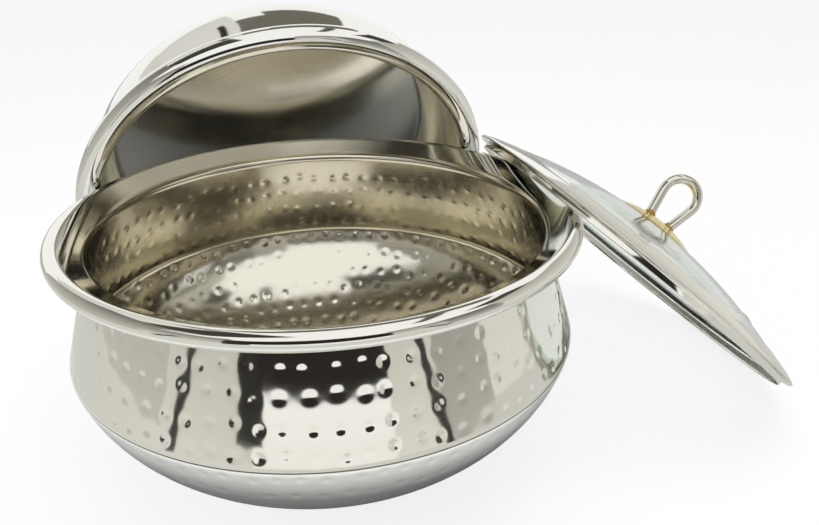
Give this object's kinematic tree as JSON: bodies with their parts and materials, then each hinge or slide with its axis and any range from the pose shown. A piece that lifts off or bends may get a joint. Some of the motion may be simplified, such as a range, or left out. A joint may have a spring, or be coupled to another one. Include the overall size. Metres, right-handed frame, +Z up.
{
  "type": "lidded belly pot",
  "caption": "Hammered belly pot with a rolled rim; a deep dome lid leans on it from behind and a steel-rimmed glass lid with a loop handle leans on it from the right.",
  "frame": {"origin": "middle of the pot's flat bottom, on the table", "axes": "+Z up along the pot's axis, +Y towards the dome lid behind, +X towards the glass lid on the right"},
  "size_m": [0.463, 0.3609, 0.2578],
  "materials": {
    "pot_steel": "mirror polished and hammered",
    "dome_steel": "polished outside, satin spun inside",
    "rim_steel": "polished",
    "rod_steel": "polished",
    "fixing_steel": "satin",
    "plate_brass": "polished",
    "braze_brass": "rough",
    "lid_glass": "clear",
    "clear_gasket": "satin"
  },
  "bodies": {
    "pot": {"pot_body": "pot_steel"},
    "dome_lid": {"dome_shell": "dome_steel", "dome_plate": "plate_brass", "dome_loop": "rod_steel", "dome_braze": "braze_brass"},
    "glass_lid": {"glass_pane": "lid_glass", "glass_rim": "rim_steel", "vent_eyelet": "fixing_steel", "glass_plate": "plate_brass", "glass_loop": "rod_steel", "glass_braze": "braze_brass", "top_gasket": "clear_gasket", "under_gasket": "clear_gasket", "fixing_washer": "fixing_steel", "fixing_screw": "fixing_steel"}
  },
  "joints": [
    {"name": "dome_lift", "type": "slide", "parent": "pot", "child": "dome_lid", "axis": [0, 0, 1], "range_m": [0, 0.25]},
    {"name": "glass_lift", "type": "slide", "parent": "pot", "child": "glass_lid", "axis": [0, 0, 1], "range_m": [0, 0.25]}
  ]
}
